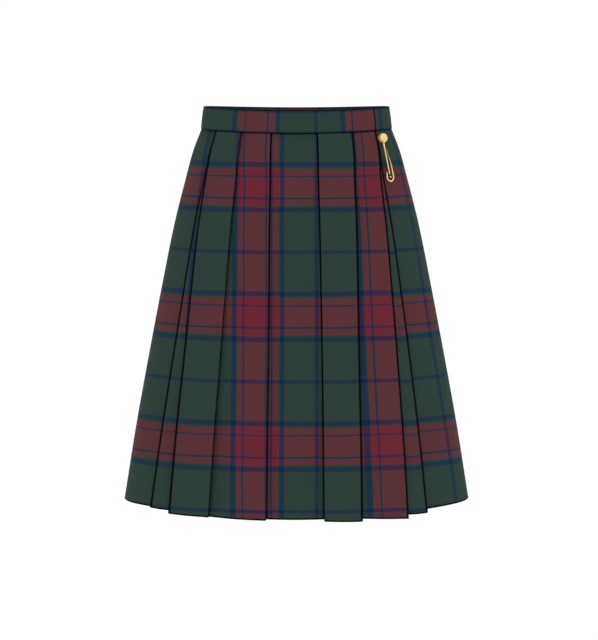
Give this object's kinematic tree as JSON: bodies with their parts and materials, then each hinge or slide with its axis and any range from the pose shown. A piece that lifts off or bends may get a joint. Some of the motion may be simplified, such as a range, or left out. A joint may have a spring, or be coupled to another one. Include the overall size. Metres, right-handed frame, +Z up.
{
  "type": "pleated tartan wrap skirt with a kilt pin",
  "caption": "Knee-length pleated tartan wrap skirt with a narrow waistband, flared and filled out as when worn, closed by a gilt kilt pin.",
  "frame": {"origin": "middle of the waistband, at half its height, inside the open waist", "axes": "+Z up through the waist, -Y towards the skirt's front, +X to the right of someone who looks at the front"},
  "size_m": [0.4712, 0.3483, 0.5513],
  "materials": {
    "tartan": "woven wool tartan of dark green, dark red and navy, matt with a soft nap",
    "gilt": "polished",
    "dark_steel": "blackened"
  },
  "bodies": {
    "root": {"waistband": "tartan", "right_front_width": "tartan", "back_width": "tartan", "left_side_width": "tartan", "front_apron": "tartan", "pin_head": "gilt", "pin_arm": "gilt", "pin_wire": "gilt", "pin_stud": "gilt", "pin_plate": "dark_steel"}
  },
  "joints": []
}
